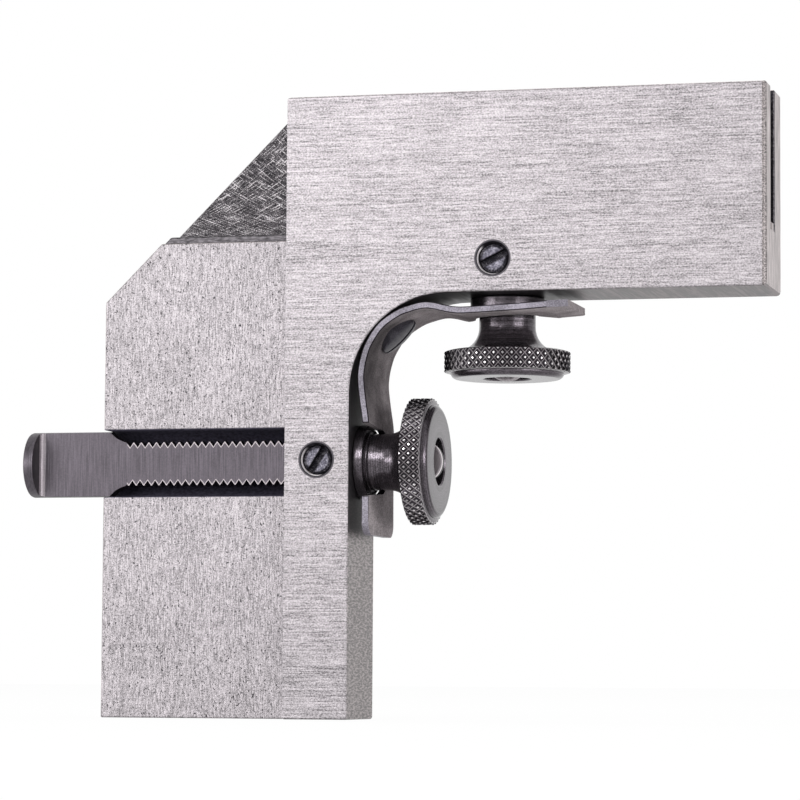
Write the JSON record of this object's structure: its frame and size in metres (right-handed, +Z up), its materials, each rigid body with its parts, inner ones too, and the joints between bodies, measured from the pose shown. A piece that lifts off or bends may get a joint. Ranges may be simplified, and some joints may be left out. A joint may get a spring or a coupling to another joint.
{
  "type": "surface gauge",
  "caption": "Right-angle steel clamp head of a surface gauge, with a hook bolt and knurled nut for an upright blade and another for a level rule.",
  "frame": {"origin": "on the bottom face, at the plane of the blade shoulder and the middle of the thickness", "axes": "+X from the blade shoulder along the top leg, +Y to the back, +Z up the upright leg"},
  "size_m": [0.0729, 0.0141, 0.0592],
  "materials": {
    "ground_steel": "ground and brushed",
    "bolt_steel": "dark milled",
    "black_oxide": "black oxide",
    "blued_spring": "blued"
  },
  "bodies": {
    "head": {"head": "ground_steel", "leaf_spring": "blued_spring", "spring_screw": "black_oxide", "blade_guide_screw": "black_oxide", "rule_guide_screw": "black_oxide"},
    "blade_nut": {"blade_nut": "black_oxide"},
    "blade_bolt": {"blade_bolt": "bolt_steel"},
    "rule_nut": {"rule_nut": "black_oxide"},
    "rule_bolt": {"rule_bolt": "bolt_steel"}
  },
  "joints": [
    {"name": "blade_bolt_slide", "type": "slide", "parent": "head", "child": "blade_bolt", "axis": [1, 0, 0], "range_m": [-0.0023, 0.0005]},
    {"name": "blade_nut_turn", "type": "hinge", "parent": "head", "child": "blade_nut", "pos_m": [0.0063, 0, 0.0245], "axis": [1, 0, 0], "range_deg": [-234, 1076]},
    {"name": "rule_bolt_slide", "type": "slide", "parent": "head", "child": "rule_bolt", "axis": [0, 0, -1], "range_m": [-0.0019, 0.0005]},
    {"name": "rule_nut_turn", "type": "hinge", "parent": "head", "child": "rule_nut", "pos_m": [0.02015, 0.0019, 0.04], "axis": [0, 0, -1], "range_deg": [-234, 889]}
  ],
  "couplings": [
    {"joint": "blade_nut_turn", "follows": "blade_bolt_slide", "rad_per_m": -8160},
    {"joint": "rule_nut_turn", "follows": "rule_bolt_slide", "rad_per_m": -8160}
  ]
}
